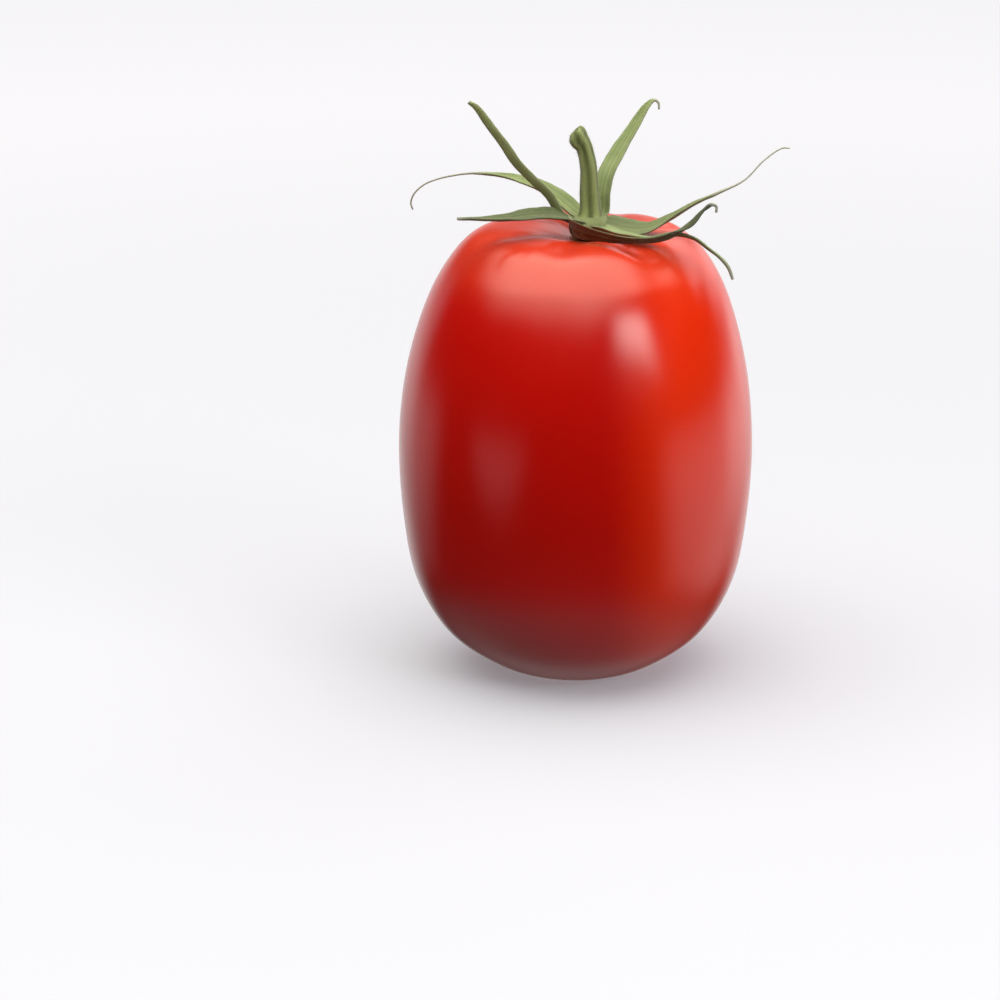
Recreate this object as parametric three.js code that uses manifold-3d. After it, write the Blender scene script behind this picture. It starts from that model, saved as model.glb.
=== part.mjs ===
// A plum tomato with its calyx and a short length of stem, in millimetres, +Z up.
// It stands on its blossom end, so the origin is the middle of the small flat spot it rests on.

import * as THREE from 'three';
import Module from 'manifold-3d';

const wasm = await Module();
wasm.setup();

// Fruit
const restRadius = 7.5; // the flat spot under the fruit
const widestHeight = 35;
const fruitLean = 0.83; // how far the shoulders lean to +X over the upper half
const crestRadius = 13; // ring of the rim around the stem hollow
const hollowShift = 1.3; // the hollow sits this far beside the middle of the shoulders
const crownTilt = 0.045; // rise of the crown towards +Y, in mm for each mm
const fruitSides = 84;
const fruitRings = 40;

// Radius and height of the side, from the edge of the flat spot up and into the stem hollow.
const fruitSide = [
  [restRadius, 0],
  [10.5, 0.5],
  [15.0, 2.7],
  [20.6, 7.4],
  [24.7, 15.2],
  [26.4, 25.0],
  [26.95, widestHeight],
  [26.25, 44.5],
  [24.45, 53.0],
  [21.8, 60.4],
  [18.4, 65.7],
  [15.0, 68.1],
  [9.0, 68.6],
  [5.5, 67.9],
  [2.5, 67.0],
  [0.3, 66.8],
];

// Creases that run from the stem hollow over the shoulder and fade out down the side.
const creaseWidth = 11; // degrees
const creases = [
  { angle: -104, depth: 0.5 },
  { angle: -47, depth: 0.6 },
  { angle: 12, depth: 0.4 },
  { angle: 68, depth: 0.55 },
  { angle: 128, depth: 0.45 },
  { angle: -160, depth: 0.35 },
];

// Calyx
const calyxCentre = new THREE.Vector2(2.0, 0);
const calyxDisc = [
  [0.2, 67.2],
  [2.2, 67.35],
  [3.1, 68.0],
  [3.4, 69.0],
  [3.2, 69.9],
  [2.3, 70.35],
  [0.2, 70.4],
];
const calyxSides = 24;
const bladeThickness = 0.65;
const bladeTipWidth = 0.7;
const stationLength = 0.95; // spacing of the sections along a sepal

// Each sepal is a line of places, with the width and the roll of the blade at each of them.
// Roll is in degrees about the line: at 0 the blade lies level across its own direction.
const sepals = [
  {
    name: 'upper left',
    heading: 185,
    channel: 0.3,
    line: [
      { at: [0.8, -0.2, 69.3], width: 1.8, roll: 0 },
      { at: [-2.4, -0.6, 70.9], width: 1.8, roll: 20 },
      { at: [-4.5, -1.0, 73.9], width: 1.7, roll: 40 },
      { at: [-6.7, -1.6, 76.1], width: 1.6, roll: 48 },
      { at: [-9.1, -2.2, 78.7], width: 1.7, roll: 48 },
      { at: [-11.3, -2.8, 82.0], width: 1.6, roll: 48 },
      { at: [-13.4, -3.2, 84.9], width: 1.4, roll: 48 },
      { at: [-15.1, -3.4, 87.3], width: 1.15, roll: 40 },
      { at: [-16.1, -3.2, 88.1], width: 0.9, roll: 20 },
    ],
  },
  {
    name: 'back left',
    heading: 141,
    channel: 0.25,
    line: [
      { at: [1.6, 0.6, 69.4], width: 2.2, roll: 0 },
      { at: [0.2, 2.2, 70.8], width: 2.9, roll: 0 },
      { at: [-4.4, 5.5, 73.9], width: 2.9, roll: 5 },
      { at: [-8.3, 8.5, 74.5], width: 2.1, roll: 10 },
      { at: [-11.8, 11.2, 74.7], width: 1.4, roll: 10 },
      { at: [-15.5, 13.8, 74.5], width: 0.9, roll: 0 },
      { at: [-18.3, 15.6, 73.9], width: 0.7, roll: 0 },
      { at: [-21.1, 17.2, 73.0], width: 0.7, roll: 0 },
      { at: [-23.3, 18.3, 71.9], width: 0.7, roll: 0 },
      { at: [-24.9, 19.0, 70.3], width: 0.7, roll: 0 },
      { at: [-25.4, 19.3, 68.8], width: 0.7, roll: 0 },
      { at: [-25.1, 19.4, 67.8], width: 0.7, roll: 0 },
    ],
  },
  {
    name: 'left',
    heading: 211,
    channel: 0.15,
    line: [
      { at: [1.6, -0.6, 69.4], width: 3.0, roll: 0 },
      { at: [-0.6, -2.0, 70.3], width: 4.0, roll: -8 },
      { at: [-3.2, -3.4, 71.3], width: 4.4, roll: -14 },
      { at: [-6.5, -5.2, 71.6], width: 3.8, roll: -14 },
      { at: [-10.0, -7.2, 71.6], width: 2.7, roll: -12 },
      { at: [-13.7, -9.0, 71.8], width: 1.6, roll: -8 },
      { at: [-17.7, -11.0, 72.2], width: 0.8, roll: 0 },
    ],
  },
  {
    name: 'back right',
    heading: 52,
    channel: 0.2,
    line: [
      { at: [2.4, 0.6, 69.4], width: 2.4, roll: 0 },
      { at: [4.0, 2.6, 70.5], width: 2.8, roll: -5 },
      { at: [4.2, 3.6, 73.4], width: 3.1, roll: -8 },
      { at: [4.9, 4.8, 76.3], width: 3.5, roll: -10 },
      { at: [6.4, 6.2, 78.9], width: 3.3, roll: -10 },
      { at: [8.0, 7.2, 81.4], width: 2.7, roll: -10 },
      { at: [9.7, 8.0, 84.1], width: 1.9, roll: -10 },
      { at: [10.9, 8.4, 85.9], width: 1.2, roll: -5 },
      { at: [11.9, 8.5, 86.5], width: 0.7, roll: 0 },
      { at: [12.5, 8.3, 85.2], width: 0.7, roll: 0 },
    ],
  },
  {
    name: 'right',
    heading: -15,
    channel: 0.15,
    line: [
      { at: [1.9, -0.5, 69.5], width: 3.2, roll: 0 },
      { at: [4.6, -2.3, 69.7], width: 4.6, roll: 16 },
      { at: [7.2, -3.5, 69.5], width: 4.9, roll: 20 },
      { at: [10.4, -3.8, 69.6], width: 3.9, roll: 18 },
      { at: [13.6, -3.6, 70.9], width: 2.4, roll: 14 },
      { at: [17.0, -3.4, 72.9], width: 1.4, roll: 8 },
      { at: [20.8, -3.4, 74.6], width: 0.7, roll: 0 },
      { at: [24.7, -3.2, 76.5], width: 0.7, roll: 0 },
      { at: [27.6, -2.8, 79.4], width: 0.7, roll: 0 },
      { at: [30.2, -2.4, 81.1], width: 0.7, roll: 0 },
      { at: [31.4, -2.2, 81.1], width: 0.7, roll: 0 },
    ],
  },
  {
    name: 'front',
    heading: -60,
    channel: -0.1,
    line: [
      { at: [1.4, -1.0, 69.5], width: 2.4, roll: 0 },
      { at: [-0.3, -3.0, 70.0], width: 2.7, roll: -50 },
      { at: [-0.8, -5.4, 69.9], width: 2.6, roll: -75 },
      { at: [0.4, -7.8, 69.7], width: 2.4, roll: -80 },
      { at: [2.6, -9.8, 69.5], width: 1.9, roll: -75 },
      { at: [5.6, -11.5, 69.3], width: 1.5, roll: -60 },
      { at: [8.8, -12.4, 69.25], width: 1.4, roll: -40 },
      { at: [12.0, -12.4, 69.6], width: 1.5, roll: -20 },
      { at: [14.6, -11.9, 70.5], width: 1.8, roll: 30 },
      { at: [16.5, -11.7, 71.8], width: 1.9, roll: 60 },
      { at: [18.0, -11.2, 73.3], width: 1.1, roll: 60 },
      { at: [19.4, -10.6, 74.2], width: 0.7, roll: 0 },
      { at: [20.1, -10.4, 73.9], width: 0.7, roll: 0 },
      { at: [20.1, -10.4, 73.0], width: 0.7, roll: 0 },
    ],
  },
  {
    name: 'front right',
    heading: -35,
    channel: 0.1,
    line: [
      { at: [2.2, -0.9, 69.3], width: 2.4, roll: 0 },
      { at: [4.2, -4.0, 69.4], width: 2.6, roll: -5 },
      { at: [7.2, -7.2, 69.1], width: 2.4, roll: -5 },
      { at: [10.8, -9.8, 69.1], width: 2.0, roll: -10 },
      { at: [14.3, -10.8, 69.9], width: 1.6, roll: -20 },
      { at: [16.9, -11.4, 69.4], width: 1.3, roll: -25 },
      { at: [18.9, -11.8, 68.0], width: 1.1, roll: -25 },
      { at: [20.7, -12.0, 66.6], width: 0.8, roll: -20 },
      { at: [21.9, -12.1, 65.2], width: 0.7, roll: -10 },
      { at: [22.6, -12.1, 63.4], width: 0.7, roll: 0 },
    ],
  },
];

// Stem
const stemSides = 20;
const stemRings = 26;
const stemRibs = 5;
const stemRibHeight = 0.07; // part of the radius
const stemCutTilt = 18; // degrees that the cut leans past square
const stemLine = [
  { at: [2.0, 0, 70.75], radius: 1.95 },
  { at: [2.0, 0, 71.6], radius: 1.65 },
  { at: [1.85, 0, 74.5], radius: 1.4 },
  { at: [1.65, 0, 78.0], radius: 1.25 },
  { at: [0.95, 0, 80.9], radius: 1.2 },
  { at: [0.15, 0, 82.3], radius: 1.5 },
  { at: [-0.3, 0, 83.2], radius: 1.4 },
];

function smooth(low, high, value) {
  return THREE.MathUtils.smoothstep(value, low, high);
}

// Joins closed rings of points into one closed body, with a fan over each end.
function skin(rings, crossedFrom = Infinity) {
  const count = rings[0].length;
  const places = [];
  const faces = [];
  rings.forEach((ring) => ring.forEach((p) => places.push(p.x, p.y, p.z)));
  for (let i = 0; i + 1 < rings.length; i += 1) {
    for (let j = 0; j < count; j += 1) {
      const a = i * count + j;
      const b = i * count + ((j + 1) % count);
      const c = b + count;
      const d = a + count;
      if (j < crossedFrom) faces.push(a, b, c, a, c, d);
      else faces.push(a, b, d, b, c, d);
    }
  }
  const last = (rings.length - 1) * count;
  const ends = [rings[0], rings[rings.length - 1]];
  ends.forEach((ring, end) => {
    const middle = new THREE.Vector3();
    ring.forEach((p) => middle.addScaledVector(p, 1 / count));
    const hub = places.length / 3;
    places.push(middle.x, middle.y, middle.z);
    for (let j = 0; j < count; j += 1) {
      const next = (j + 1) % count;
      if (end === 0) faces.push(hub, next, j);
      else faces.push(hub, last + j, last + next);
    }
  });
  const geometry = new THREE.BufferGeometry();
  geometry.setAttribute('position', new THREE.Float32BufferAttribute(places, 3));
  geometry.setIndex(faces);
  geometry.computeVertexNormals();
  return geometry;
}

function toSolid(geometry) {
  return new wasm.Manifold(new wasm.Mesh({
    numProp: 3,
    vertProperties: new Float32Array(geometry.attributes.position.array),
    triVerts: new Uint32Array(geometry.index.array),
  }));
}

function toGeometry(solid) {
  const mesh = solid.getMesh();
  const geometry = new THREE.BufferGeometry();
  geometry.setAttribute('position', new THREE.Float32BufferAttribute(mesh.vertProperties, 3));
  geometry.setIndex(Array.from(mesh.triVerts));
  geometry.computeVertexNormals();
  return geometry;
}

// Depth of the creases at an angle around the fruit.
function creaseDepth(angle) {
  return creases.reduce((sum, crease) => {
    const away = THREE.MathUtils.euclideanModulo(angle - crease.angle + 180, 360) - 180;
    return sum + crease.depth * Math.exp(-((away / creaseWidth) ** 2));
  }, 0);
}

// One ring of the fruit from its radius and height on the smooth side.
function fruitRing(radius, height) {
  const onTop = smooth(62, 67, height);
  const lean = fruitLean * Math.max(0, (height - widestHeight) / widestHeight) ** 2;
  const inHollow = onTop * Math.max(0, 1 - (radius / crestRadius) ** 2);
  const creased = smooth(44, 66, height) * smooth(2, 12, radius);
  const ring = [];
  for (let j = 0; j < fruitSides; j += 1) {
    const angle = (360 * j) / fruitSides;
    const turn = THREE.MathUtils.degToRad(angle);
    const depth = creaseDepth(angle) * creased;
    const reach = radius - depth * (1 - onTop) * 0.8;
    const x = reach * Math.cos(turn) + lean + hollowShift * inHollow;
    const y = reach * Math.sin(turn);
    ring.push(new THREE.Vector3(x, y, height + (crownTilt * y - depth) * onTop));
  }
  return ring;
}

function makeFruit() {
  const side = new THREE.SplineCurve(fruitSide.map(([r, z]) => new THREE.Vector2(r, z)));
  const rings = side.getSpacedPoints(fruitRings).map((p) => fruitRing(p.x, Math.max(0, p.y)));
  return skin(rings);
}

// A value at a place along a line of marks that are spread evenly in the curve's own measure.
function between(values, t) {
  const place = t * (values.length - 1);
  const i = Math.min(Math.floor(place), values.length - 2);
  return THREE.MathUtils.lerp(values[i], values[i + 1], place - i);
}

// Section of a sepal: five points over the upper face and five back under it.
function bladeSection(centre, across, up, width, channel) {
  const ring = [];
  const steps = [-1, -0.5, 0, 0.5, 1];
  const lift = (u) => channel * width * (u * u - 0.4);
  const place = (u, side) => new THREE.Vector3()
    .copy(centre)
    .addScaledVector(across, (u * width) / 2)
    .addScaledVector(up, lift(u) + (side * bladeThickness) / 2);
  steps.forEach((u) => ring.push(place(-u, 1)));
  steps.forEach((u) => ring.push(place(u, -1)));
  return ring;
}

function makeSepal({ heading, channel, line }) {
  const curve = new THREE.CatmullRomCurve3(line.map(({ at }) => new THREE.Vector3(...at)));
  const stations = Math.round(curve.getLength() / stationLength);
  const turn = THREE.MathUtils.degToRad(heading);
  const level = new THREE.Vector3(-Math.sin(turn), Math.cos(turn), 0);
  const rings = [];
  for (let i = 0; i <= stations; i += 1) {
    const t = curve.getUtoTmapping(i / stations);
    const along = curve.getTangent(t);
    const roll = THREE.MathUtils.degToRad(between(line.map((mark) => mark.roll), t));
    const width = Math.max(bladeTipWidth, between(line.map((mark) => mark.width), t));
    const across = level.clone().addScaledVector(along, -level.dot(along)).normalize();
    across.applyAxisAngle(along, roll);
    const up = new THREE.Vector3().crossVectors(along, across);
    rings.push(bladeSection(curve.getPoint(t), across, up, width, channel));
  }
  return skin(rings, 5);
}

function makeCalyx() {
  const outline = new THREE.SplineCurve(calyxDisc.map(([r, z]) => new THREE.Vector2(r, z)));
  const discRings = outline.getSpacedPoints(12).map(({ x, y }) => {
    const ring = [];
    for (let j = 0; j < calyxSides; j += 1) {
      const turn = (2 * Math.PI * j) / calyxSides;
      const centre = calyxCentre;
      ring.push(new THREE.Vector3(centre.x + x * Math.cos(turn), centre.y + x * Math.sin(turn), y));
    }
    return ring;
  });
  const disc = toSolid(skin(discRings));
  return toGeometry(sepals.reduce((solid, sepal) => solid.add(toSolid(makeSepal(sepal))), disc));
}

function makeStem() {
  const curve = new THREE.CatmullRomCurve3(stemLine.map(({ at }) => new THREE.Vector3(...at)));
  const radii = stemLine.map(({ radius }) => radius);
  const side = new THREE.Vector3(0, 1, 0);
  const rings = [];
  for (let i = 0; i <= stemRings; i += 1) {
    const t = i / stemRings;
    const along = curve.getTangent(t);
    if (i === 0) along.set(0, 0, 1);
    along.applyAxisAngle(side, -THREE.MathUtils.degToRad(stemCutTilt) * smooth(0.75, 1, t));
    const across = new THREE.Vector3().crossVectors(side, along);
    const ring = [];
    for (let j = 0; j < stemSides; j += 1) {
      const turn = (2 * Math.PI * j) / stemSides;
      const reach = between(radii, t) * (1 + stemRibHeight * Math.cos(stemRibs * turn));
      ring.push(curve.getPoint(t)
        .addScaledVector(across, reach * Math.cos(turn))
        .addScaledVector(side, reach * Math.sin(turn)));
    }
    rings.push(ring);
  }
  return skin(rings);
}

const redSkin = new THREE.MeshStandardMaterial({ color: '#c41c0a', roughness: 0.25, metalness: 0 });
const leafGreen = new THREE.MeshStandardMaterial({ color: '#7f9a54', roughness: 0.7, metalness: 0 });
const stemGreen = new THREE.MeshStandardMaterial({ color: '#6f8c48', roughness: 0.65, metalness: 0 });

function place(name, geometry, material) {
  const mesh = new THREE.Mesh(geometry, material);
  mesh.name = name;
  return mesh;
}

const group = new THREE.Group();
group.add(place('fruit', makeFruit(), redSkin));
group.add(place('calyx', makeCalyx(), leafGreen));
group.add(place('stem', makeStem(), stemGreen));

export default group;
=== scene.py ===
import bisect
import itertools
import math
import random

import bmesh
import bpy
from mathutils import Matrix, Quaternion, Vector


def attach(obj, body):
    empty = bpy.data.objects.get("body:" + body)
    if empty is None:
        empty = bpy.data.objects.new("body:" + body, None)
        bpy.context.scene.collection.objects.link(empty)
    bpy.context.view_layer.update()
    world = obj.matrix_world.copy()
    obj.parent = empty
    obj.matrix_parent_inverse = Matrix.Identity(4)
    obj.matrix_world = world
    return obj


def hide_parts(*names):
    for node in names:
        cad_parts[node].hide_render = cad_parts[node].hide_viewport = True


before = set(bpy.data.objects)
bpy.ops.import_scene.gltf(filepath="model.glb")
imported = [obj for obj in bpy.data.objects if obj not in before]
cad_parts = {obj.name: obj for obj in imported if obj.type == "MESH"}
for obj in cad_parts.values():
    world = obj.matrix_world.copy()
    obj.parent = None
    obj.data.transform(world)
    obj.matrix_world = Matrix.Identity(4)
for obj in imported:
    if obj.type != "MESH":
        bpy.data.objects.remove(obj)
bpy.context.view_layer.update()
mm = 0.001  # sizes are in millimetres, apart from the studio's, which are in metres


# camera first, at the photo's own place and lens

cameraSettings = {
    "place": (-11.5, -449.8, 156.9),
    "pitch": 16.2,  # degrees down from level
    "lens": 109.7,
    "sensor": 36.0,
    "clip": (0.01, 50),  # metres
}


def makeCamera(settings):
    camera = bpy.data.objects.new("camera", bpy.data.cameras.new("camera"))
    bpy.context.scene.collection.objects.link(camera)
    camera.location = Vector(settings["place"]) * mm
    camera.rotation_euler = (math.radians(90 - settings["pitch"]), 0, 0)
    camera.data.lens = settings["lens"]
    camera.data.sensor_width = settings["sensor"]
    camera.data.clip_start, camera.data.clip_end = settings["clip"]
    bpy.context.scene.camera = camera
    print("camera placed")


makeCamera(cameraSettings)


# small helpers

def smooth(low, high, value):
    # from 0 at low to 1 at high; low may be the larger
    t = min(1.0, max(0.0, (value - low) / (high - low)))
    return t * t * (3 - 2 * t)


def mix(a, b, t):
    return a + (b - a) * t


def splinePoint(marks, knots, place):
    # centripetal curve through the marks; a mark may carry more values after its x, y, z
    i = min(max(bisect.bisect_right(knots, place) - 1, 0), len(marks) - 2)
    t1, t2 = knots[i], knots[i + 1]
    p1, p2 = marks[i], marks[i + 1]
    p0 = marks[i - 1] if i > 0 else [2 * a - b for a, b in zip(p1, p2)]
    p3 = marks[i + 2] if i + 2 < len(marks) else [2 * b - a for a, b in zip(p1, p2)]
    t0 = knots[i - 1] if i > 0 else 2 * t1 - t2
    t3 = knots[i + 2] if i + 2 < len(marks) else 2 * t2 - t1
    values = []
    for a, b, c, d in zip(p0, p1, p2, p3):
        slopeB = ((b - a) / (t1 - t0) - (c - a) / (t2 - t0) + (c - b) / (t2 - t1)) * (t2 - t1)
        slopeC = ((c - b) / (t2 - t1) - (d - b) / (t3 - t1) + (d - c) / (t3 - t2)) * (t2 - t1)
        s = (place - t1) / (t2 - t1)
        values.append(
            b + slopeB * s
            + (3 * (c - b) - 2 * slopeB - slopeC) * s * s
            + (2 * (b - c) + slopeB + slopeC) * s * s * s
        )
    return values


def stepLengths(points):
    # only x, y and z count
    return [math.dist(a[:3], b[:3]) for a, b in zip(points, points[1:])]


def addUp(steps):
    # the running total, from 0
    return [0.0, *itertools.accumulate(steps)]


def evenPlaces(run, count):
    # the step of the run that holds each even place, and the share of the step before it
    places = []
    for i in range(count + 1):
        wanted = run[-1] * i / count
        k = min(max(bisect.bisect_right(run, wanted) - 1, 0), len(run) - 2)
        places.append((k, (wanted - run[k]) / max(run[k + 1] - run[k], 1e-9)))
    return places


def evenStations(marks, count, fineness=40):
    # stations at even distances along the curve, each with all the values of its marks
    knots = addUp(math.sqrt(step) for step in stepLengths(marks))
    fine = fineness * len(marks)
    places = [knots[-1] * i / fine for i in range(fine + 1)]
    run = addUp(stepLengths([splinePoint(marks, knots, place) for place in places]))
    stations = []
    for k, share in evenPlaces(run, count):
        stations.append(splinePoint(marks, knots, mix(places[k], places[k + 1], share)))
    return stations, run[-1]


def skinRings(name, rings, ends=(None, None)):
    # closed body from rings of points in mm, with a hub closing each end
    bm = bmesh.new()
    loops = [[bm.verts.new(Vector(p) * mm) for p in ring] for ring in rings]
    count = len(loops[0])
    for low, high in zip(loops, loops[1:]):
        for j in range(count):
            k = (j + 1) % count
            bm.faces.new((low[j], low[k], high[k], high[j]))
    for side, loop in enumerate((loops[0], loops[-1])):
        middle = sum((v.co for v in loop), Vector()) / count
        if ends[side] is not None:
            middle = Vector(ends[side]) * mm
        hub = bm.verts.new(middle)
        for j in range(count):
            k = (j + 1) % count
            order = (loop[k], loop[j], hub) if side == 0 else (loop[j], loop[k], hub)
            bm.faces.new(order)
    mesh = bpy.data.meshes.new(name)
    bm.to_mesh(mesh)
    bm.free()
    mesh.shade_smooth()
    piece = bpy.data.objects.new(name, mesh)
    bpy.context.scene.collection.objects.link(piece)
    return piece


def paint(piece, name, values):
    # one number for each vertex, which a material reads by its name
    layer = piece.data.attributes.new(name, "FLOAT", "POINT")
    layer.data.foreach_set("value", values)


def finishPiece(piece, material, node):
    piece.data.materials.append(material)
    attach(piece, "root")
    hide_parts(node)


# node helpers for the materials

def startMaterial(name):
    material = bpy.data.materials.new(name)
    material.use_nodes = True
    nodes = material.node_tree.nodes
    nodes.clear()
    output = nodes.new("ShaderNodeOutputMaterial")
    shader = nodes.new("ShaderNodeBsdfPrincipled")
    material.node_tree.links.new(shader.outputs["BSDF"], output.inputs["Surface"])
    return material, shader


def link(material, source, target):
    material.node_tree.links.new(source, target)


def feed(material, value, socket):
    # the value is a number, a colour or an output
    if isinstance(value, (int, float)):
        socket.default_value = value
    elif isinstance(value, tuple):
        socket.default_value = (*value, 1)
    else:
        link(material, value, socket)


def setSockets(shader, values):
    for name, value in values.items():
        shader.inputs[name].default_value = value


def addNoise(material, scale, detail, stretch=(1, 1, 1)):
    nodes = material.node_tree.nodes
    place = nodes.new("ShaderNodeTexCoord")
    mapping = nodes.new("ShaderNodeMapping")
    mapping.inputs["Scale"].default_value = stretch
    noise = nodes.new("ShaderNodeTexNoise")
    noise.inputs["Scale"].default_value = scale
    noise.inputs["Detail"].default_value = detail
    link(material, place.outputs["Object"], mapping.inputs["Vector"])
    link(material, mapping.outputs["Vector"], noise.inputs["Vector"])
    return noise


def addRamp(material, source, stops):
    # a colour ramp from (place, colour) pairs
    ramp = material.node_tree.nodes.new("ShaderNodeValToRGB")
    elements = ramp.color_ramp.elements
    elements[0].position, elements[0].color = stops[0][0], (*stops[0][1], 1)
    elements[1].position, elements[1].color = stops[-1][0], (*stops[-1][1], 1)
    for position, colour in stops[1:-1]:
        elements.new(position).color = (*colour, 1)
    link(material, source, ramp.inputs["Fac"])
    return ramp


def addGreys(material, source, stops):
    # from (place, share) pairs
    return addRamp(material, source, [(place, (share,) * 3) for place, share in stops]).outputs["Color"]


def addMix(material, factor, first, second):
    # a mix node's colours are its sockets 6 and 7, and its output 2
    node = material.node_tree.nodes.new("ShaderNodeMix")
    node.data_type = "RGBA"
    feed(material, factor, node.inputs[0])
    feed(material, first, node.inputs[6])
    feed(material, second, node.inputs[7])
    return node.outputs[2]


def addAttribute(material, name):
    node = material.node_tree.nodes.new("ShaderNodeAttribute")
    node.attribute_name = name
    return node.outputs["Fac"]


def addMath(material, operation, first, second=0.0):
    node = material.node_tree.nodes.new("ShaderNodeMath")
    node.operation = operation
    feed(material, first, node.inputs[0])
    feed(material, second, node.inputs[1])
    return node.outputs[0]


def addBump(material, shader, height, depth, strength):
    bump = material.node_tree.nodes.new("ShaderNodeBump")
    bump.inputs["Strength"].default_value = strength
    bump.inputs["Distance"].default_value = depth * mm
    link(material, height, bump.inputs["Height"])
    link(material, bump.outputs["Normal"], shader.inputs["Normal"])


# fruit

calyxCentre = (2.0, 0.0)  # calyx and stem sit a little to the right of the fruit's middle

fruitSettings = {
    "restRadius": 7.5,
    "widestHeight": 35.0,
    "lean": 0.83,  # how far the shoulders lean to +X
    "crestRadius": 13.0,
    "hollowShift": 1.3,
    "crownTilt": 0.045,
    "topHeights": (62, 67),  # from the last of the side to the first of the top
    "rings": 190,
    "sides": 288,
    "navelDepth": 0.45,  # the blossom end draws in a little inside the flat spot
    "navelRadius": 4.2,
    "navelRings": 13,
    "scarRadius": 1.05,  # the dry point in the middle of the blossom end
    "scarLobes": ((3, 0.25, 0), (7, 0.15, 1)),  # count, height and phase
    "scarEdge": (0.7, 1.15),  # shares of the radius, over which it ends
    "collarRadii": (2.6, 3.3),  # the corky ring round the calyx
    "collarCork": 0.8,
    "crownHeights": (58, 69),  # where the skin turns paler, partly with a painted milky reflection
    "creaseWidth": 11.0,  # degrees
    "creaseHeights": (44, 66),  # where a crease sets in from below
    "creaseRadii": (2, 12),  # where it sets in from the stem
    "creaseInward": 0.8,  # share of its depth on the side
    # angle and depth of each crease
    "creases": ((-104, 0.5), (-54, 0.7), (12, 0.4), (68, 0.55), (128, 0.45), (-160, 0.35)),
    # radius and height from the edge of the flat spot up and into the stem hollow
    "side": (
        (7.5, 0.0), (10.5, 0.5), (15.0, 2.7), (20.6, 7.4), (24.7, 15.2), (26.4, 25.0),
        (26.95, 35.0), (26.25, 44.5), (24.45, 53.0), (21.8, 60.4), (18.4, 65.7),
        (15.0, 68.1), (9.0, 68.6), (5.5, 67.9), (2.5, 67.0), (0.3, 66.8),
    ),
}

skinSettings = {
    "deepRed": (0.34, 0.0012, 0.0002),
    "red": (0.46, 0.0030, 0.0003),
    # from the riper side to the more orange one, which is also made brighter: painted light where light
    # falls from the right; millimetres along X and the red there
    "sides": (
        (-24, (0.45, 0.0020, 0.0002)), (3, (0.44, 0.0016, 0.0002)), (15, (0.77, 0.0280, 0.0004)),
    ),
    "sideShare": 0.75,  # how much of the red goes by the side; the rest is cloudy
    "orange": (0.68, 0.026, 0.0005),
    "speckShare": 0.06,
    "crown": (0.47, 0.046, 0.016),  # paler round the stem, partly its own colour and partly a painted milky reflection; and less glossy
    "crownShare": 0.6,
    "crownRoughness": 0.262,
    "cork": (0.26, 0.15, 0.06),
    "corkRoughness": 0.85,
    "roughness": 0.21,
    "roughnessRange": 0.03,
    "clouds": 38,  # sizes of the noises, larger is finer
    "wax": 160,
    "specks": 900,
    "pores": 1400,
    "poreBump": (0.01, 0.10),  # depth and strength
    "shader": {
        "IOR": 1.50,
        "Subsurface Weight": 0.12,
        "Subsurface Radius": (1.0, 0.18, 0.08),
        "Subsurface Scale": 2.5 * mm,
    },
}


def evenSide(marks, count, fineness=60, easings=10):
    # the plain spline that the solid's side follows too, at even distances
    def at(place):
        i = min(int(place), len(marks) - 2)
        s = place - i
        p = [marks[min(max(i + k, 0), len(marks) - 1)] for k in (-1, 0, 1, 2)]
        values = []
        for a, b, c, d in zip(*p):
            slopeB = (c - a) / 2
            slopeC = (d - b) / 2
            bend = (2 * b - 2 * c + slopeB + slopeC) * s ** 3
            values.append(bend + (3 * (c - b) - 2 * slopeB - slopeC) * s * s + slopeB * s + b)
        return values

    fine = fineness * len(marks)
    points = [at((len(marks) - 1) * i / fine) for i in range(fine + 1)]
    side = []
    for k, share in evenPlaces(addUp(stepLengths(points)), count):
        side.append([mix(a, b, share) for a, b in zip(points[k], points[k + 1])])
    # the skin bends a little more evenly than the spline
    for turn in range(easings):
        eased = [[(a + 2 * b + c) / 4 for a, b, c in zip(*trio)] for trio in zip(side, side[1:], side[2:])]
        side = [side[0], *eased, side[-1]]
    return side


def creaseDepth(angle, settings):
    depth = 0.0
    for place, deep in settings["creases"]:
        away = (angle - place + 180) % 360 - 180
        depth += deep * math.exp(-(away / settings["creaseWidth"]) ** 2)
    return depth


def fruitRing(radius, height, settings):
    onTop = smooth(*settings["topHeights"], height)
    rise = max(0.0, height / settings["widestHeight"] - 1)
    inHollow = onTop * max(0.0, 1 - (radius / settings["crestRadius"]) ** 2)
    creased = smooth(*settings["creaseHeights"], height) * smooth(*settings["creaseRadii"], radius)
    shift = settings["lean"] * rise ** 2 + settings["hollowShift"] * inHollow
    ring = []
    for j in range(settings["sides"]):
        angle = 360 * j / settings["sides"]
        turn = math.radians(angle)
        depth = creaseDepth(angle, settings) * creased
        reach = radius - depth * (1 - onTop) * settings["creaseInward"]
        y = reach * math.sin(turn)
        z = max(0.0, height) + (settings["crownTilt"] * y - depth) * onTop
        ring.append((reach * math.cos(turn) + shift, y, z))
    return ring


def navelRing(radius, settings):
    # the middle of the resting spot, drawn in like the end of a real tomato
    inside = max(0.0, 1 - (radius / settings["navelRadius"]) ** 2)
    ring = []
    for j in range(settings["sides"]):
        turn = 2 * math.pi * j / settings["sides"]
        z = settings["navelDepth"] * inside ** 2
        ring.append((radius * math.cos(turn), radius * math.sin(turn), z))
    return ring


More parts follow.
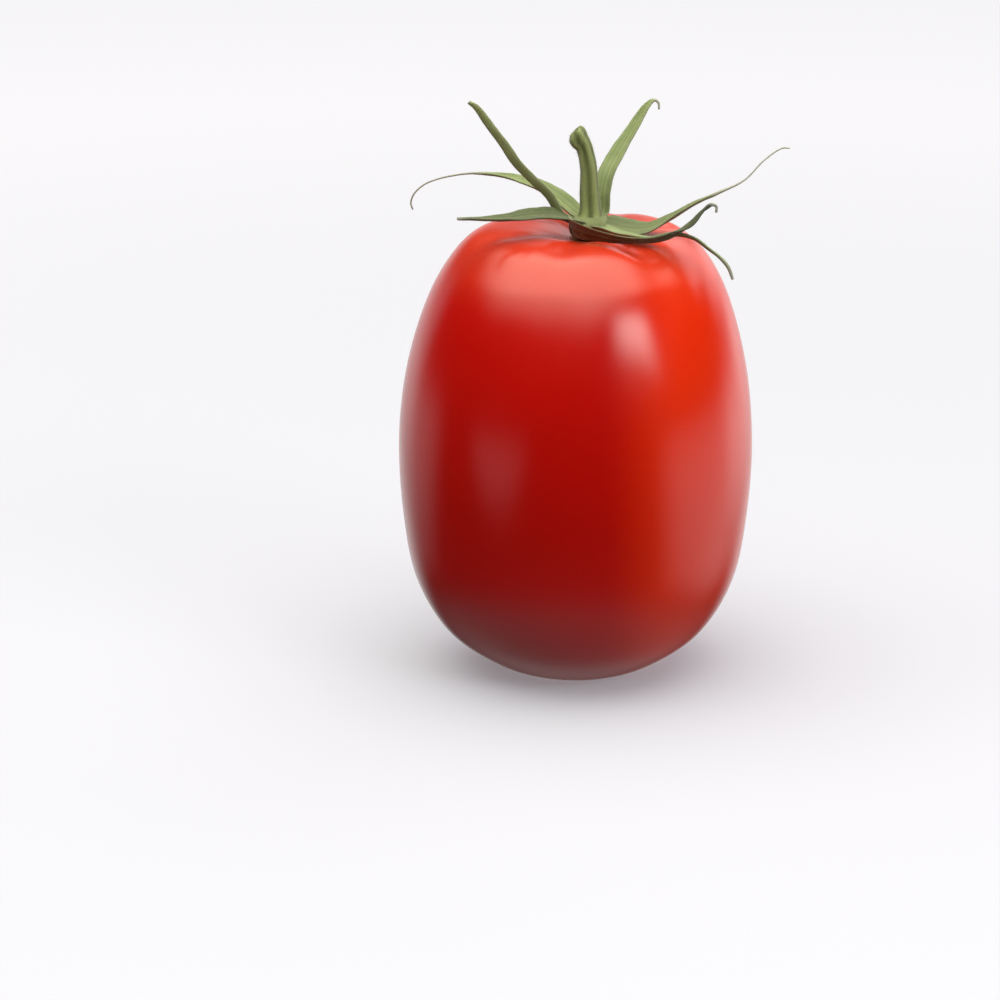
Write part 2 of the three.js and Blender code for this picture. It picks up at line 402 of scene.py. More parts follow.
def makeSkin(settings):
    material, shader = startMaterial("tomato skin")
    place = material.node_tree.nodes.new("ShaderNodeTexCoord")
    split = material.node_tree.nodes.new("ShaderNodeSeparateXYZ")
    link(material, place.outputs["Object"], split.inputs["Vector"])
    # the red along X: its own orange hue, plus painted light that brightens the right side
    stops = settings["sides"]
    first, last = stops[0][0], stops[-1][0]
    across = material.node_tree.nodes.new("ShaderNodeMapRange")
    across.inputs["From Min"].default_value = first * mm
    across.inputs["From Max"].default_value = last * mm
    link(material, split.outputs["X"], across.inputs["Value"])
    sides = addRamp(
        material, across.outputs["Result"],
        [((x - first) / (last - first), colour) for x, colour in stops],
    )
    sides.color_ramp.interpolation = "EASE"
    broad = addNoise(material, settings["clouds"], 2, (1, 1, 0.7))
    cloudy = addMix(material, broad.outputs["Fac"], settings["deepRed"], settings["red"])
    patchy = addMix(material, settings["sideShare"], cloudy, sides.outputs["Color"])
    fine = addNoise(material, settings["specks"], 3)
    faint = addMath(material, "MULTIPLY", fine.outputs["Fac"], settings["speckShare"])
    spotted = addMix(material, faint, patchy, settings["orange"])
    # a painted milky reflection round the stem, mixed with its paler colour there; the same mask makes it
    # less glossy
    crown = addAttribute(material, "crown")
    paler = addMath(material, "MULTIPLY", crown, settings["crownShare"])
    crowned = addMix(material, paler, spotted, settings["crown"])
    cork = addAttribute(material, "cork")
    link(material, addMix(material, cork, crowned, settings["cork"]), shader.inputs["Base Color"])
    setSockets(shader, settings["shader"])
    wax = addNoise(material, settings["wax"], 3)
    smoothest = (settings["roughness"] - settings["roughnessRange"],) * 3
    roughest = (settings["roughness"] + settings["roughnessRange"],) * 3
    gloss = addMix(material, wax.outputs["Fac"], smoothest, roughest)
    softer = addMix(material, crown, gloss, (settings["crownRoughness"],) * 3)
    rough = addMix(material, cork, softer, (settings["corkRoughness"],) * 3)
    link(material, rough, shader.inputs["Roughness"])
    pores = addNoise(material, settings["pores"], 2)
    addBump(material, shader, pores.outputs["Fac"], *settings["poreBump"])
    return material


def corkiness(x, y, z, settings):
    # 1 at the dry point of the blossom end, less round the calyx, 0 elsewhere
    if z < settings["widestHeight"]:
        turn = math.atan2(y, x)
        reach = settings["scarRadius"]
        for count, height, phase in settings["scarLobes"]:
            reach += height * math.cos(count * turn + phase)
        full, end = settings["scarEdge"]
        return 1 - smooth(reach * full, reach * end, math.hypot(x, y))
    away = math.hypot(x - calyxCentre[0], y - calyxCentre[1])
    return settings["collarCork"] * (1 - smooth(*settings["collarRadii"], away))


def makeFruit(settings):
    side = evenSide(settings["side"], settings["rings"])
    steps = settings["navelRings"] + 1
    rings = [navelRing(settings["restRadius"] * k / steps, settings) for k in range(1, steps)]
    rings += [fruitRing(radius, height, settings) for radius, height in side]
    ends = ((0, 0, settings["navelDepth"]), None)
    fruit = skinRings("fruit_skin", rings, ends)
    places = [vertex.co / mm for vertex in fruit.data.vertices]
    paint(fruit, "cork", [corkiness(*place, settings) for place in places])
    paint(fruit, "crown", [smooth(*settings["crownHeights"], place.z) for place in places])
    finishPiece(fruit, makeSkin(skinSettings), "fruit")
    print("fruit made")
    return fruit


makeFruit(fruitSettings)


# calyx: a small disc with seven sepals grown from it

veinCount = 5  # veins across a sepal, in its shape and in its colour

calyxSettings = {
    "disc": ((0.2, 66.9), (2.2, 67.1), (3.0, 67.9), (3.3, 69.0), (3.1, 69.9), (2.4, 70.4), (0.2, 70.9)),
    "discSides": 72,
    "discRings": 30,
    "discLobes": 7,
    "lobeDepth": 0.05,
    "discPaint": {"side": 0.1, "across": 0.4, "redShade": 0.1, "dry": 0.0, "tone": 0.8},
    "stationLength": 0.22,
    "acrossSteps": 12,
    "midThickness": 0.42,
    "edgeThickness": 0.16,
    "midrib": 0.2,
    "vein": 0.03,
    "wave": 0.05,  # how far the margins wave
    "ragged": (0.025, 0.012),  # share of the width by which it wavers, slowly and fast
    "threadWidths": (0.9, 0.4),  # over these a narrow blade rolls up into a thread
    "dryWidths": (0.9, 0.35),  # and over these it dries
    "redShadeShares": (0.3, 0.75),  # of the length, over which the painted red shade fades
}

# x, y, z, width and roll along each sepal; roll 0 lies level across the sepal's heading
# tone darkens or lightens each sepal from root to tip as light and shade fall on it: painted light and
# shade
sepals = {
    "upper_left": {
        "heading": 185, "channel": 0.32, "phase": 0.4, "tone": (0.68, 1.2), "redShade": 0.0,
        "marks": (
            (0.8, -0.2, 69.3, 1.8, 0), (-2.4, -0.6, 70.9, 1.8, 20), (-4.5, -1.0, 73.9, 1.7, 40),
            (-6.7, -1.6, 76.1, 1.6, 48), (-9.1, -2.2, 78.7, 1.7, 48), (-11.3, -2.8, 82.0, 1.6, 48),
            (-13.4, -3.2, 84.9, 1.4, 48), (-15.1, -3.4, 87.3, 1.1, 40), (-16.1, -3.2, 88.1, 0.65, 20),
        ),
    },
    "back_left": {
        "heading": 141, "channel": 0.25, "phase": 1.7, "tone": (0.95, 1.0), "redShade": 0.0,
        "marks": (
            (1.6, 0.6, 69.4, 2.4, 0), (0.2, 2.0, 70.3, 3.4, -5), (-4.4, 5.5, 73.3, 3.0, -12),
            (-8.3, 8.5, 74.4, 2.0, -16), (-11.8, 11.2, 74.7, 1.0, -12), (-15.5, 13.8, 74.5, 0.4, 0),
            (-18.3, 15.6, 73.9, 0.3, 0), (-21.1, 17.2, 73.0, 0.26, 0), (-23.3, 18.3, 71.9, 0.26, 0),
            (-24.9, 19.0, 70.3, 0.26, 0), (-25.4, 19.3, 68.8, 0.26, 0), (-25.1, 19.4, 67.8, 0.26, 0),
        ),
    },
    "left": {
        "heading": 211, "channel": 0.12, "phase": 2.9, "tone": (0.4, 0.48), "redShade": 0.0,
        "marks": (
            (1.6, -0.6, 69.4, 3.0, 0), (-0.6, -2.0, 70.3, 4.0, -8), (-3.2, -3.4, 71.3, 4.4, -14),
            (-6.5, -5.2, 71.6, 3.8, -14), (-10.0, -7.2, 71.6, 2.6, -12), (-13.7, -9.0, 71.8, 1.4, -8),
            (-17.7, -11.0, 72.2, 0.5, 0),
        ),
    },
    "back_right": {
        "heading": 52, "channel": 0.2, "phase": 4.1, "tone": (0.95, 1.15), "redShade": 0.0,
        "marks": (
            (2.4, 0.6, 69.4, 2.4, 0), (4.0, 2.6, 70.5, 2.8, -5), (4.2, 3.6, 73.4, 3.1, -8),
            (4.9, 4.8, 76.3, 3.5, -10), (6.4, 6.2, 78.9, 3.3, -10), (8.0, 7.2, 81.4, 2.7, -10),
            (9.7, 8.0, 84.1, 1.9, -10), (10.9, 8.4, 85.9, 1.2, -5), (11.8, 8.5, 86.6, 0.55, 0),
            (12.4, 8.4, 86.2, 0.4, 0), (12.5, 8.3, 85.2, 0.3, 0),
        ),
    },
    "right": {
        "heading": -15, "channel": 0.12, "phase": 5.3, "tone": (0.42, 1.15), "redShade": 0.0,
        "marks": (
            (1.9, -0.5, 69.5, 3.2, 0), (4.6, -2.3, 69.7, 4.6, 16), (7.2, -3.8, 69.3, 4.7, 20),
            (10.4, -4.1, 69.4, 3.6, 18), (13.6, -3.6, 70.9, 2.4, 14), (17.0, -3.4, 72.9, 1.4, 8),
            (20.8, -3.4, 74.6, 0.55, 0), (24.7, -3.2, 76.5, 0.28, 0), (27.6, -2.8, 79.4, 0.24, 0),
            (30.2, -2.4, 81.1, 0.24, 0), (31.4, -2.2, 81.1, 0.24, 0),
        ),
    },
    "front": {
        "heading": -60, "channel": -0.1, "phase": 0.9, "tone": (0.9, 0.1), "redShade": 1.0,
        "marks": (
            (1.4, -1.0, 69.5, 2.4, 0), (-0.3, -3.0, 70.0, 2.7, -50), (-0.8, -5.4, 69.9, 2.6, -75),
            (0.4, -7.8, 69.7, 2.4, -80), (2.6, -9.8, 69.5, 1.9, -75), (5.6, -11.5, 69.3, 1.5, -60),
            (8.8, -12.4, 69.25, 1.4, -40), (12.0, -12.4, 69.6, 1.5, -20), (14.6, -11.9, 70.5, 2.1, 30),
            (16.5, -11.7, 71.8, 2.1, 60), (18.0, -11.2, 73.3, 1.1, 60), (19.4, -10.6, 74.2, 0.6, 0),
            (20.1, -10.4, 73.9, 0.42, 0), (20.1, -10.4, 73.0, 0.36, 0),
        ),
    },
    "front_right": {
        "heading": -35, "channel": 0.1, "phase": 3.6, "tone": (1.0, 0.95), "redShade": 0.0,
        "marks": (
            (2.2, -0.9, 69.3, 2.4, 0), (4.2, -4.0, 69.4, 2.6, -5), (7.2, -7.2, 69.1, 2.4, -5),
            (10.8, -9.8, 69.1, 2.0, -10), (14.3, -10.8, 69.9, 1.6, -20), (16.9, -11.4, 69.4, 1.3, -25),
            (18.9, -11.8, 68.0, 1.1, -25), (20.7, -12.0, 66.6, 0.8, -20), (21.9, -12.1, 65.2, 0.6, -10),
            (22.6, -12.1, 63.4, 0.4, 0),
        ),
    },
}

leafSettings = {
    "face": (0.240, 0.305, 0.145),
    "faceDark": (0.155, 0.208, 0.086),
    "back": (0.21, 0.235, 0.105),
    "backDark": (0.13, 0.150, 0.058),
    "faceStops": ((0.0, 0), (0.2, 1)),  # from the back's colour to the face's
    "rib": (0.30, 0.34, 0.15),
    # share of the half width, and of the rib's or the dry colour there
    "ribStops": ((0.02, 0.6), (0.14, 0)),
    "marginStops": ((0.86, 0), (1.0, 0.2)),
    "veinShare": 0.2,
    "dry": (0.36, 0.37, 0.33),  # thin ends dry first
    "redShaded": (0.080, 0.018, 0.001),  # painted shade and painted red bounce light from the fruit, on a root's underside where its share is 1
    "mottle": 500,  # sizes of the noises, larger is finer
    "streaks": 1300,
    "streakBump": (0.05, 0.3),  # depth and strength
    "shader": {
        "Roughness": 0.62,
        "Subsurface Weight": 0.15,
        "Subsurface Radius": (0.5, 0.8, 0.2),
        "Subsurface Scale": 0.5 * mm,
        "Specular IOR Level": 0.2,
        "Sheen Weight": 0.1,
        "Sheen Roughness": 0.5,
    },
}


def bladeSection(centre, across, up, width, channel, along, phase, settings):
    # upper face from one margin to the other, then back under it
    steps = settings["acrossSteps"]
    thin = smooth(*settings["threadWidths"], width)
    wave = settings["wave"] * smooth(0.6, 2.0, width)
    top = []
    bottom = []
    for k in range(steps + 1):
        u = 1 - 2 * k / steps
        bow = math.sqrt(max(0.0, 1 - u * u))
        half = mix(settings["edgeThickness"], settings["midThickness"], bow) / 2
        half = mix(min(half, width * 0.45), width * 0.5 * max(bow, 0.12), thin)
        lift = channel * width * (u * u - 0.4) * (1 - thin)
        lift += wave * abs(u) ** 3 * math.sin(along * 1.1 + phase + (1.3 if u > 0 else 0))
        vein = settings["vein"] * math.cos(u * math.pi * veinCount) * smooth(1.0, 2.5, width)
        rib = settings["midrib"] * math.exp(-(u / 0.16) ** 2) * smooth(0.6, 2.2, width)
        groove = 0.35 * rib
        edge = centre + across * (u * width / 2)
        top.append((edge + up * (lift + half + vein - groove), u, 1.0))
        bottom.append((edge + up * (lift - half - rib - vein * 0.5), u, -1.0))
    return top + bottom[::-1]


def makeSepal(name, sepal, settings, material):
    length = evenStations(sepal["marks"], 2)[1]  # any count gives it
    count = round(length / settings["stationLength"])
    stations = evenStations(sepal["marks"], count)[0]
    slow, fast = settings["ragged"]
    turn = math.radians(sepal["heading"])
    level = Vector((-math.sin(turn), math.cos(turn), 0))
    rings = []
    sides = []
    redShades = []
    dries = []
    tones = []
    acrosses = []
    for i, (x, y, z, width, roll) in enumerate(stations):
        before = Vector(stations[max(i - 1, 0)][:3])
        after = Vector(stations[min(i + 1, count)][:3])
        along = (after - before).normalized()
        across = (level - along * level.dot(along)).normalized()
        across = Matrix.Rotation(math.radians(roll), 3, along) @ across
        up = along.cross(across)
        run = length * i / count
        ragged = 1 + slow * math.sin(run * 0.9 + sepal["phase"]) + fast * math.sin(run * 2.9)
        section = bladeSection(
            Vector((x, y, z)), across, up, width * ragged, sepal["channel"], run, sepal["phase"],
            settings,
        )
        rings.append([p for p, u, side in section])
        acrosses += [u for p, u, side in section]
        sides += [side for p, u, side in section]
        # painted shade and red bounce light on the underside near the root, fading along the sepal
        redShaded = sepal["redShade"] * (1 - smooth(*settings["redShadeShares"], i / count))
        redShades += [redShaded] * len(section)
        dries += [smooth(*settings["dryWidths"], width)] * len(section)
        # painted light and shade along the sepal
        tones += [mix(*sepal["tone"], i / count)] * len(section)
    blade = skinRings("sepal_" + name, rings)
    paint(blade, "side", sides + [0, 0])
    paint(blade, "across", acrosses + [0, 0])
    paint(blade, "redShade", redShades + [0, 0])
    paint(blade, "dry", dries + [0, 1])
    paint(blade, "tone", tones + list(sepal["tone"]))
    finishPiece(blade, material, "calyx")
    return blade


def makeLeaf(settings):
    material, shader = startMaterial("sepal green")
    side = addAttribute(material, "side")
    across = addMath(material, "ABSOLUTE", addAttribute(material, "across"))
    mottle = addNoise(material, settings["mottle"], 1.5)
    streak = addNoise(material, settings["streaks"], 1)
    face = addMix(material, mottle.outputs["Fac"], settings["faceDark"], settings["face"])
    back = addMix(material, mottle.outputs["Fac"], settings["backDark"], settings["back"])
    upper = addGreys(material, side, settings["faceStops"])
    green = addMix(material, upper, back, face)
    rib = addGreys(material, across, settings["ribStops"])
    ribbed = addMix(material, rib, green, settings["rib"])
    lines = addMath(material, "COSINE", addMath(material, "MULTIPLY", across, veinCount * math.pi))
    between = addMath(material, "SUBTRACT", 1.0, lines)
    veins = addMath(material, "MULTIPLY", between, settings["veinShare"])
    veined = addMix(material, veins, ribbed, settings["backDark"])
    margin = addGreys(material, across, settings["marginStops"])
    edged = addMix(material, margin, veined, settings["dry"])
    scale = material.node_tree.nodes.new("ShaderNodeVectorMath")
    scale.operation = "SCALE"
    link(material, edged, scale.inputs[0])
    # the tone scales the colour of the disc and of each sepal: painted light and shade
    link(material, addAttribute(material, "tone"), scale.inputs["Scale"])
    dried = addMix(material, addAttribute(material, "dry"), scale.outputs["Vector"], settings["dry"])
    lower = addMath(material, "SUBTRACT", 1.0, upper)
    # painted shade and red bounce light from the fruit, only on the underside
    redShade = addMath(material, "MULTIPLY", addAttribute(material, "redShade"), lower)
    toned = addMix(material, redShade, dried, settings["redShaded"])
    link(material, toned, shader.inputs["Base Color"])
    setSockets(shader, settings["shader"])
    addBump(material, shader, streak.outputs["Fac"], *settings["streakBump"])
    return material


def makeCalyx(settings):
    leaf = makeLeaf(leafSettings)
    side = evenSide(settings["disc"], settings["discRings"])
    rings = []
    for radius, height in side:
        ring = []
        for j in range(settings["discSides"]):
            turn = 2 * math.pi * j / settings["discSides"]
            lobe = math.cos(settings["discLobes"] * turn + 0.6)
            reach = radius * (1 + settings["lobeDepth"] * lobe)
            x = calyxCentre[0] + reach * math.cos(turn)
            ring.append((x, calyxCentre[1] + reach * math.sin(turn), height))
        rings.append(ring)
    disc = skinRings("calyx_disc", rings)
    for name, value in settings["discPaint"].items():
        paint(disc, name, [value] * len(disc.data.vertices))
    finishPiece(disc, leaf, "calyx")
    blades = [makeSepal(name, sepal, settings, leaf) for name, sepal in sepals.items()]
    print("calyx made with", len(blades), "sepals")
    return [disc] + blades


calyx = makeCalyx(calyxSettings)


# stem

stemSettings = {
    # x, y, z and radius
    "marks": (
        (2.0, 0, 69.9, 2.2), (2.0, 0, 70.6, 1.8), (2.0, 0, 71.6, 1.55), (1.85, 0, 74.5, 1.4),
        (1.65, 0, 78.0, 1.25), (0.95, 0, 80.9, 1.2), (0.2, 0, 82.1, 1.45), (-0.15, 0, 82.9, 1.35),
        (-0.35, 0, 83.3, 1.05),
    ),
    "rings": 150,
    "sides": 90,
    "ribs": 5,
    "ribHeight": 0.06,  # share of the radius, as the next one
    "fibre": 0.012,
    "fibres": 23,
    "twist": 0.5,  # radians by which the ribs turn over the length
    "unevenness": 0.02,
    "cutTilt": 18.0,  # degrees
    "cutFrom": 0.75,  # share of the length where the tilt begins
    "cutSink": 0.25,
    # the broken end, a lip that turns in and a sunken corky face: shares of radius and cutSink
    "cutRings": ((0.94, -0.05), (0.84, 0.0), (0.6, 0.6), (0.3, 1.0)),
}

stemColours = {
    # ridges painted lighter and furrows darker, with a dark furrow facing the front: painted light and
    # shade over the streaks' own tone
    "light": (0.235, 0.28, 0.11),
    "dark": (0.058, 0.078, 0.022),
    "cut": (0.24, 0.235, 0.11),
    "toneShare": 0.6,  # of rib and streak together; the rib's part is painted light and shade
    "toneEnds": (0.2, 0.85),  # the tones of dark and light
    "streaks": 1500,  # sizes of the noises, larger is finer
    "grain": 2500,
    "streakBump": (0.06, 0.6),  # depth and strength
    "shader": {
        "Roughness": 0.55,
        "Subsurface Weight": 0.1,
        "Subsurface Radius": (0.5, 0.8, 0.2),
        "Subsurface Scale": 0.6 * mm,
        "Specular IOR Level": 0.3,
        "Sheen Weight": 0.1,
        "Sheen Roughness": 0.5,
    },
}


def makeStemGreen(settings):
    material, shader = startMaterial("stem green")
    rib = addAttribute(material, "rib")
    cut = addAttribute(material, "cut")
    streak = addNoise(material, settings["streaks"], 3, (1, 1, 0.12))
    both = addMath(material, "ADD", rib, streak.outputs["Fac"])
    tone = addMath(material, "MULTIPLY", both, settings["toneShare"])
    low, high = settings["toneEnds"]
    green = addRamp(material, tone, ((low, settings["dark"]), (high, settings["light"])))
    grain = addNoise(material, settings["grain"], 3)
    cork = addMix(material, grain.outputs["Fac"], settings["dark"], settings["cut"])
    link(material, addMix(material, cut, green.outputs["Color"], cork), shader.inputs["Base Color"])
    setSockets(shader, settings["shader"])
    addBump(material, shader, streak.outputs["Fac"], *settings["streakBump"])
    return material


def makeStem(settings):
    stations = evenStations(settings["marks"], settings["rings"])[0]
    side = Vector((0, 1, 0))
    rings = []
    ribs = []
    for i, (x, y, z, radius) in enumerate(stations):
        t = i / settings["rings"]
        before = Vector(stations[max(i - 1, 0)][:3])
        after = Vector(stations[min(i + 1, settings["rings"])][:3])
        along = (after - before).normalized()
        tilt = -math.radians(settings["cutTilt"]) * smooth(settings["cutFrom"], 1, t)
        along = Matrix.Rotation(tilt, 3, side) @ along
        across = side.cross(along).normalized()
        ring = []
        for j in range(settings["sides"]):
            turn = 2 * math.pi * j / settings["sides"]
            ridge = math.cos(settings["ribs"] * turn - math.pi / 2 + settings["twist"] * t)
            fibre = settings["fibre"] * math.sin(settings["fibres"] * turn + 3 * t)
            reach = radius * (1 + settings["ribHeight"] * ridge + fibre)
            reach *= 1 + settings["unevenness"] * math.sin(9 * t + 2 * turn)
            ring.append(Vector((x, y, z)) + across * reach * math.cos(turn) + side * reach * math.sin(turn))
            # the colour follows the ribs, lighter on ridges and darker in furrows: painted light and shade
            ribs.append(0.5 + 0.5 * ridge)
        rings.append(ring)
    last = rings[-1]
    middle = sum(last, Vector()) / len(last)
    cuts = [0.0] * len(ribs)
    for share, sink in settings["cutRings"]:
        lower = along * (settings["cutSink"] * sink)
        rings.append([middle + (p - middle) * share - lower for p in last])
        cuts += [1.0] * len(last)
        ribs += [0.5] * len(last)
    stem = skinRings("stem_green", rings)
    paint(stem, "rib", ribs + [0.5, 0.5])
    paint(stem, "cut", cuts + [0.0, 1.0])
    finishPiece(stem, makeStemGreen(stemColours), "stem")
    print("stem made")
    return stem


stem = makeStem(stemSettings)


# down: fine hairs on the green parts

downSettings = {
    "seed": 11,
    "calyx": {"count": 2600, "length": (0.15, 0.34), "radius": 0.013},
    "stem": {"count": 1500, "length": (0.2, 0.45), "radius": 0.014},
    "sides": 3,
    "lean": 0.45,  # how far a hair leans from straight out
    "rooted": 0.04,  # how deep its foot stands in the green
    "colour": (0.45, 0.50, 0.30),
    "darkest": 0.7,  # share of the colour
    "mottle": 300,
    "roughness": 0.5,
}


def makeDownMaterial(settings):
    material, shader = startMaterial("pale down")
    tone = addNoise(material, settings["mottle"], 2)
    darker = tuple(value * settings["darkest"] for value in settings["colour"])
    colour = addMix(material, tone.outputs["Fac"], darker, settings["colour"])
    link(material, colour, shader.inputs["Base Color"])
    shader.inputs["Roughness"].default_value = settings["roughness"]
    return material


def makeDown(name, carriers, share, settings, node, material):
    rng = random.Random(settings["seed"])
    bm = bmesh.new()
    faces = []
    totals = []
    total = 0.0
    for carrier in carriers:
        mesh = carrier.data
        for polygon in mesh.polygons:
            total += polygon.area
            totals.append(total)
            faces.append((mesh, polygon))
    for i in range(share["count"]):
        pick = min(bisect.bisect_left(totals, rng.random() * total), len(faces) - 1)
        mesh, polygon = faces[pick]
        corners = [mesh.vertices[v].co for v in polygon.vertices]
        weights = [rng.random() + 0.01 for corner in corners]
        root = sum((c * w for c, w in zip(corners, weights)), Vector()) / sum(weights)
        lean = Vector((rng.uniform(-1, 1), rng.uniform(-1, 1), rng.uniform(-1, 1)))
        outward = (polygon.normal + lean * settings["lean"]).normalized()
        length = rng.uniform(*share["length"]) * mm
        first = outward.orthogonal().normalized()
        second = outward.cross(first)
        foot = root - outward * settings["rooted"] * mm
        ring = []
        for k in range(settings["sides"]):
            turn = 2 * math.pi * k / settings["sides"]
            spread = first * math.cos(turn) + second * math.sin(turn)
            ring.append(bm.verts.new(foot + spread * share["radius"] * mm))
        tip = bm.verts.new(root + outward * length)
        bm.faces.new(ring[::-1])
        for k in range(settings["sides"]):
            bm.faces.new((ring[k], ring[(k + 1) % settings["sides"]], tip))
    mesh = bpy.data.meshes.new(name)
    bm.to_mesh(mesh)
    bm.free()
    piece = bpy.data.objects.new(name, mesh)
    bpy.context.scene.collection.objects.link(piece)
    finishPiece(piece, material, node)
    return piece


downMaterial = makeDownMaterial(downSettings)
makeDown("calyx_down", calyx, downSettings["calyx"], downSettings, "calyx", downMaterial)
makeDown("stem_down", [stem], downSettings["stem"], downSettings, "stem", downMaterial)
print("down grown")


# studio: pale floor, a big soft box overhead and a smaller one to the right

studioSettings = {
    "floorHalf": 3.0,
    # the floor is lit from below too, as a product table is, and runs out into the backdrop:
    # share of floorRange from the middle, and the colour there
    "floorRange": 2.0,
    "floorColours": ((0, (0.355, 0.368, 0.440)), (0.3, (0.10, 0.102, 0.110)), (1, (0, 0, 0))),
    "floorGlows": ((0, (0.22, 0.218, 0.230)), (0.3, (0.82, 0.808, 0.835)), (1, (0.945, 0.930, 0.955))),
    "floorShader": {"Emission Strength": 1, "Roughness": 0.6, "Specular IOR Level": 0},
    "backdrop": (0.945, 0.930, 0.955),
    "darkRoom": 0.045,  # what is left between the cards
    # the cards that light the tomato and show in its skin, in degrees: azimuth is 0 behind the
    # tomato and grows to the right, across is the whole angle from the card's middle on the
    # horizon, so that a high card needs a wide one, and top and foot are elevations; each pair
    # goes from where the card is still full to where it ends
    "cards": (
        {"azimuth": 0, "across": (28, 57), "top": (1, 18), "foot": (-20, -34), "bright": 1.1},
        {"azimuth": 50, "across": (10, 26), "top": (-6, 3), "foot": (-20, -34), "bright": 0.9},
        {"azimuth": 40, "across": (12, 26), "top": (46, 60), "foot": (14, -2), "bright": 1.6},
        {"azimuth": 38, "across": (36, 48), "top": (50, 62), "foot": (27, 15), "bright": 2.3},
        {"azimuth": 85, "across": (24, 48), "top": (-11, 0), "foot": (-24, -44), "bright": 1.3},
        {"azimuth": -58, "across": (8, 30), "top": (-8, 3), "foot": (-22, -40), "bright": 0.75},
        {"azimuth": -128, "across": (10, 24), "top": (-8, 0), "foot": (-36, -56), "bright": 0.75},
        {"azimuth": 0, "across": (178, 180), "top": (-62, -26), "foot": (-89, -90), "bright": 0.45},
    ),
    "cardMargin": 0.001,  # lets a card reach all round or straight down
    "boxAim": (0, 0, 0.04),
    "boxFull": 0.13,  # share of a box's size from its middle, where it starts to fade
    # a box's power is in watts and its roll in radians
    "topBox": {
        "place": (-0.08, -0.11, 0.85), "size": (2.35, 2.15), "roll": 0.0,
        "power": 66.0, "colour": (1, 0.95, 0.79),
    },
    "rightBox": {
        "place": (0.635, -0.635, 0.462), "size": (0.80, 0.38), "roll": -0.22,
        "power": 8.6, "colour": (1, 0.98, 0.93),
    },
}


def makeFloor(settings):
    half = settings["floorHalf"]
    bm = bmesh.new()
    corners = [bm.verts.new((x * half, y * half, 0)) for x, y in ((-1, -1), (1, -1), (1, 1), (-1, 1))]
    bm.faces.new(corners)
    mesh = bpy.data.meshes.new("floor")
    bm.to_mesh(mesh)
    bm.free()
    floor = bpy.data.objects.new("floor", mesh)
    bpy.context.scene.collection.objects.link(floor)
    material, shader = startMaterial("pale floor")
    place = material.node_tree.nodes.new("ShaderNodeTexCoord")
    away = material.node_tree.nodes.new("ShaderNodeVectorMath")
    away.operation = "LENGTH"
    link(material, place.outputs["Object"], away.inputs[0])
    far = addMath(material, "DIVIDE", away.outputs["Value"], settings["floorRange"])
    for socket, stops in (("Base Color", "floorColours"), ("Emission Color", "floorGlows")):
        ramp = addRamp(material, far, settings[stops])
        ramp.color_ramp.interpolation = "EASE"
        link(material, ramp.outputs["Color"], shader.inputs[socket])
    setSockets(shader, settings["floorShader"])
    mesh.materials.append(material)
    # only the camera sees the floor: the cards stand in for its light and its reflection
    floor.visible_glossy = False
    floor.visible_diffuse = False
    floor.visible_shadow = False


def addFade(nodes, links, source, low, high):
    # from 0 where the source is low to 1 where it is high; low may be the larger
    fade = nodes.new("ShaderNodeMapRange")
    fade.interpolation_type = "SMOOTHSTEP"
    fade.inputs["From Min"].default_value = low
    fade.inputs["From Max"].default_value = high
    links.new(source, fade.inputs["Value"])
    return fade.outputs["Result"]


def addCard(nodes, links, place, height, card, margin):
    # the card's brightness in each direction, added to what input 2 brings
    azimuth = math.radians(card["azimuth"])
    near = nodes.new("ShaderNodeVectorMath")
    near.operation = "DOT_PRODUCT"
    near.inputs[1].default_value = (math.sin(azimuth), math.cos(azimuth), 0)
    links.new(place, near.inputs[0])
    full, end = (math.cos(math.radians(angle)) for angle in card["across"])
    across = addFade(nodes, links, near.outputs["Value"], end - margin, full)
    full, end = (math.sin(math.radians(angle)) for angle in card["top"])
    top = addFade(nodes, links, height, end, full)
    top.node.inputs["To Max"].default_value = card["bright"]
    full, end = (math.sin(math.radians(angle)) for angle in card["foot"])
    foot = addFade(nodes, links, height, end - margin, full)
    band = nodes.new("ShaderNodeMath")
    band.operation = "MULTIPLY"
    links.new(top, band.inputs[0])
    links.new(foot, band.inputs[1])
    add = nodes.new("ShaderNodeMath")
    add.operation = "MULTIPLY_ADD"
    links.new(across, add.inputs[0])
    links.new(band.outputs["Value"], add.inputs[1])
    return add


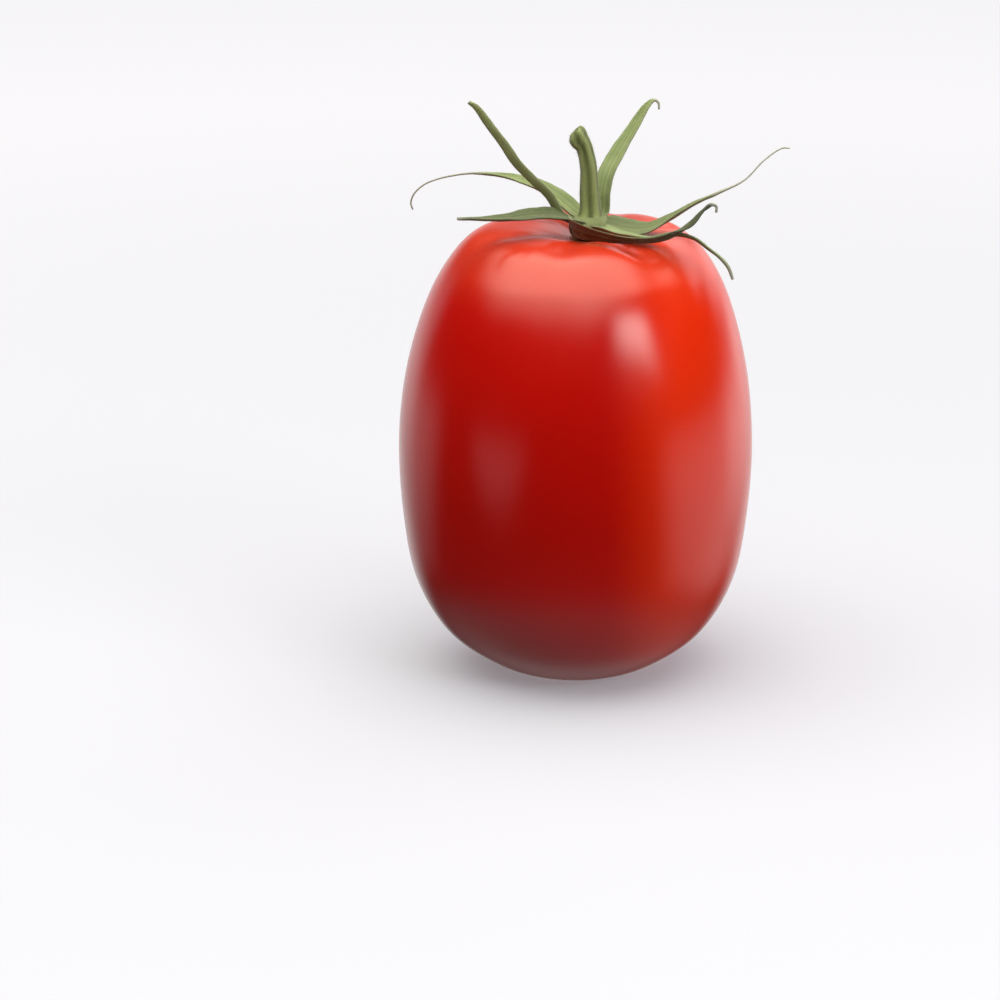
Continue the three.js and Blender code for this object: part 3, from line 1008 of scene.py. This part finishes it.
def makeWorld(settings):
    world = bpy.data.worlds.new("white room")
    bpy.context.scene.world = world
    world.use_nodes = True
    nodes = world.node_tree.nodes
    links = world.node_tree.links
    nodes.clear()
    output = nodes.new("ShaderNodeOutputWorld")
    seen = nodes.new("ShaderNodeBackground")
    seen.inputs["Color"].default_value = (*settings["backdrop"], 1)
    lit = nodes.new("ShaderNodeBackground")
    place = nodes.new("ShaderNodeTexCoord")
    split = nodes.new("ShaderNodeSeparateXYZ")
    direction, height = place.outputs["Generated"], split.outputs["Z"]
    links.new(direction, split.inputs["Vector"])
    total = None
    for card in settings["cards"]:
        add = addCard(nodes, links, direction, height, card, settings["cardMargin"])
        add.inputs[2].default_value = settings["darkRoom"]
        if total is not None:
            links.new(total, add.inputs[2])
        total = add.outputs["Value"]
    links.new(total, lit.inputs["Strength"])
    path = nodes.new("ShaderNodeLightPath")
    blend = nodes.new("ShaderNodeMixShader")
    links.new(path.outputs["Is Camera Ray"], blend.inputs["Fac"])
    links.new(lit.outputs["Background"], blend.inputs[1])
    links.new(seen.outputs["Background"], blend.inputs[2])
    links.new(blend.outputs["Shader"], output.inputs["Surface"])


def fadeEdges(lamp, full):
    # a soft box fades from full towards each of its edges
    lamp.use_nodes = True
    nodes = lamp.node_tree.nodes
    links = lamp.node_tree.links
    nodes.clear()
    output = nodes.new("ShaderNodeOutputLight")
    emission = nodes.new("ShaderNodeEmission")
    place = nodes.new("ShaderNodeTexCoord")
    middle = nodes.new("ShaderNodeVectorMath")
    middle.operation = "SUBTRACT"
    middle.inputs[1].default_value = (0.5, 0.5, 0)
    away = nodes.new("ShaderNodeVectorMath")
    away.operation = "ABSOLUTE"
    split = nodes.new("ShaderNodeSeparateXYZ")
    both = nodes.new("ShaderNodeMath")
    both.operation = "MULTIPLY"
    links.new(place.outputs["UV"], middle.inputs[0])
    links.new(middle.outputs["Vector"], away.inputs[0])
    links.new(away.outputs["Vector"], split.inputs["Vector"])
    for i, side in enumerate(("X", "Y")):
        links.new(addFade(nodes, links, split.outputs[side], 0.5, full), both.inputs[i])
    links.new(both.outputs["Value"], emission.inputs["Strength"])
    links.new(emission.outputs["Emission"], output.inputs["Surface"])


def makeSoftBox(name, box, settings):
    light = bpy.data.objects.new(name, bpy.data.lights.new(name, "AREA"))
    light.data.shape = "RECTANGLE"
    light.data.size, light.data.size_y = box["size"]
    light.data.energy = box["power"]
    light.data.color = box["colour"]
    light.location = box["place"]
    fadeEdges(light.data, settings["boxFull"])
    aim = Vector(settings["boxAim"]) - light.location
    facing = aim.to_track_quat("-Z", "Y") @ Quaternion((0, 0, 1), box["roll"])
    light.rotation_euler = facing.to_euler()
    bpy.context.scene.collection.objects.link(light)


makeFloor(studioSettings)
makeWorld(studioSettings)
makeSoftBox("top_box", studioSettings["topBox"], studioSettings)
makeSoftBox("right_box", studioSettings["rightBox"], studioSettings)
bpy.context.scene.view_settings.view_transform = "Standard"
print("studio lit")
